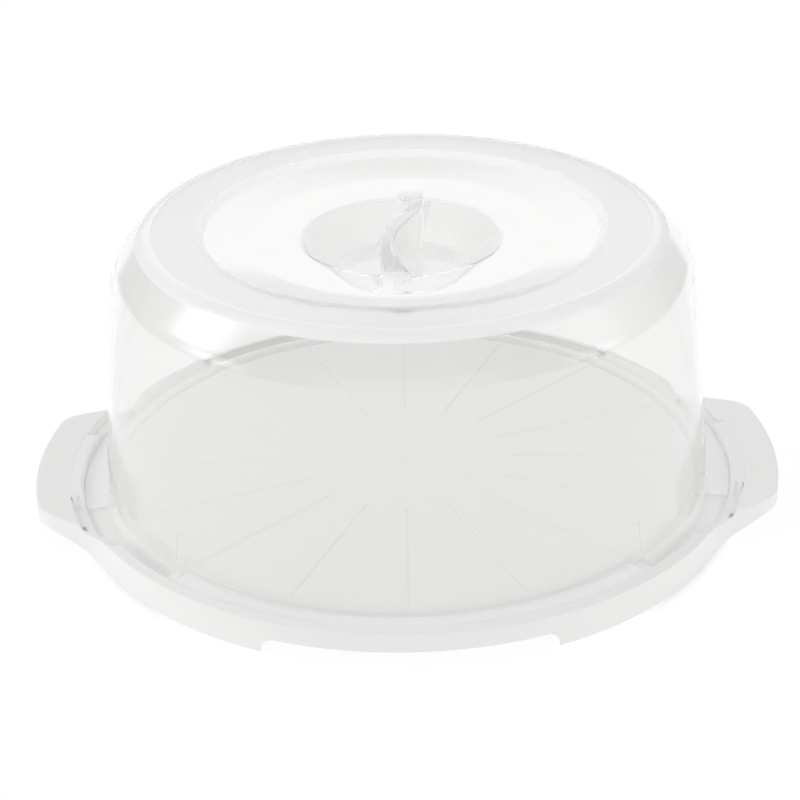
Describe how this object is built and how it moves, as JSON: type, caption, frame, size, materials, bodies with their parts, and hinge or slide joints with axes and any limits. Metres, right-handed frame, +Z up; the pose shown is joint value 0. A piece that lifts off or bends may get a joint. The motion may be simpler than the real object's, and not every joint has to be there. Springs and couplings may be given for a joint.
{
  "type": "cake carrier",
  "caption": "Round cake carrier: white serving tray with two carrying ears and an engraved cake floor, under a clear dome lid with a winding grip in a sunk bowl.",
  "frame": {"origin": "on the tray's axis, in the plane that the tray's skirt stands on", "axes": "+Z up along the tray's axis, +X through the middle of an ear, -Y the front"},
  "size_m": [0.3804, 0.336, 0.149],
  "materials": {
    "white_plastic": "white polypropylene moulding, soft satin gloss",
    "clear_plastic": "clear polypropylene moulding, glossy, slightly milky"
  },
  "bodies": {
    "tray": {"tray": "white_plastic"},
    "lid": {"lid": "clear_plastic"}
  },
  "joints": [
    {"name": "lid_lift", "type": "slide", "parent": "tray", "child": "lid", "axis": [0, 0, 1], "range_m": [0, 0.18]}
  ]
}
